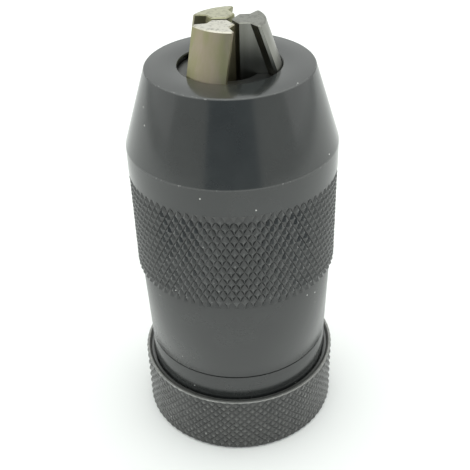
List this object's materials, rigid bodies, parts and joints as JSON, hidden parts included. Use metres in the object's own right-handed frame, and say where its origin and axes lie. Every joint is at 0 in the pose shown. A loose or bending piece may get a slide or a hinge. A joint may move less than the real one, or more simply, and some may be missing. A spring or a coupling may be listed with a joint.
{
  "type": "drill chuck",
  "caption": "Keyless drill chuck: a knurled hood turned by hand closes the jaws on a drill; taper socket in the rear.",
  "frame": {"origin": "centre of the rear face, in the mouth of the taper socket", "axes": "+Z along the chuck's axis from the taper towards the jaws; +X through the middle of one jaw"},
  "size_m": [0.051, 0.051, 0.1077],
  "materials": {
    "blackened_steel": "satin black oxide",
    "machined_steel": "machined, lightly oiled",
    "jaw_steel": "ground, faint straw temper colour",
    "bearing_steel": "polished",
    "cage_brass": "stamped"
  },
  "bodies": {
    "fixed_body": {"chuck_body": "machined_steel", "rear_ring": "blackened_steel", "fixed_race": "bearing_steel"},
    "turning_hood": {"hood": "blackened_steel", "sleeve": "blackened_steel", "retainer_collar": "blackened_steel", "jaw_guide": "machined_steel", "turning_race": "bearing_steel"},
    "spindle": {"spindle": "machined_steel"},
    "ball_cage": {"ball_cage": "cage_brass", "ball_01": "bearing_steel", "ball_02": "bearing_steel", "ball_03": "bearing_steel", "ball_04": "bearing_steel", "ball_05": "bearing_steel", "ball_06": "bearing_steel", "ball_07": "bearing_steel", "ball_08": "bearing_steel", "ball_09": "bearing_steel", "ball_10": "bearing_steel", "ball_11": "bearing_steel", "ball_12": "bearing_steel", "ball_13": "bearing_steel", "ball_14": "bearing_steel", "ball_15": "bearing_steel", "ball_16": "bearing_steel", "ball_17": "bearing_steel", "ball_18": "bearing_steel"},
    "jaw_1": {"jaw_1": "jaw_steel"},
    "jaw_2": {"jaw_2": "jaw_steel"},
    "jaw_3": {"jaw_3": "jaw_steel"}
  },
  "joints": [
    {"name": "hood_turn", "type": "hinge", "parent": "fixed_body", "child": "turning_hood", "pos_m": [0, 0, 0], "axis": [0, 0, 1], "range_deg": [-236, 2474]},
    {"name": "spindle_feed", "type": "slide", "parent": "turning_hood", "child": "spindle", "axis": [0, 0, 1], "range_m": [-0.01738, 0.00184]},
    {"name": "cage_turn", "type": "hinge", "parent": "fixed_body", "child": "ball_cage", "pos_m": [0, 0, 0], "axis": [0, 0, 1], "range_deg": [-120, 1239]},
    {"name": "jaw_1_slide", "type": "slide", "parent": "turning_hood", "child": "jaw_1", "axis": [-0.3173, 0, 0.9483], "range_m": [-0.01843, 0.00204]},
    {"name": "jaw_2_slide", "type": "slide", "parent": "turning_hood", "child": "jaw_2", "axis": [0.1587, -0.2748, 0.9483], "range_m": [-0.01843, 0.00204]},
    {"name": "jaw_3_slide", "type": "slide", "parent": "turning_hood", "child": "jaw_3", "axis": [0.1587, 0.2748, 0.9483], "range_m": [-0.01843, 0.00204]}
  ],
  "couplings": [
    {"joint": "spindle_feed", "follows": "hood_turn", "m_per_rad": -0.00039789},
    {"joint": "cage_turn", "follows": "hood_turn", "ratio": 0.5},
    {"joint": "jaw_1_slide", "follows": "hood_turn", "m_per_rad": -0.00041957},
    {"joint": "jaw_2_slide", "follows": "hood_turn", "m_per_rad": -0.00041957},
    {"joint": "jaw_3_slide", "follows": "hood_turn", "m_per_rad": -0.00041957}
  ]
}
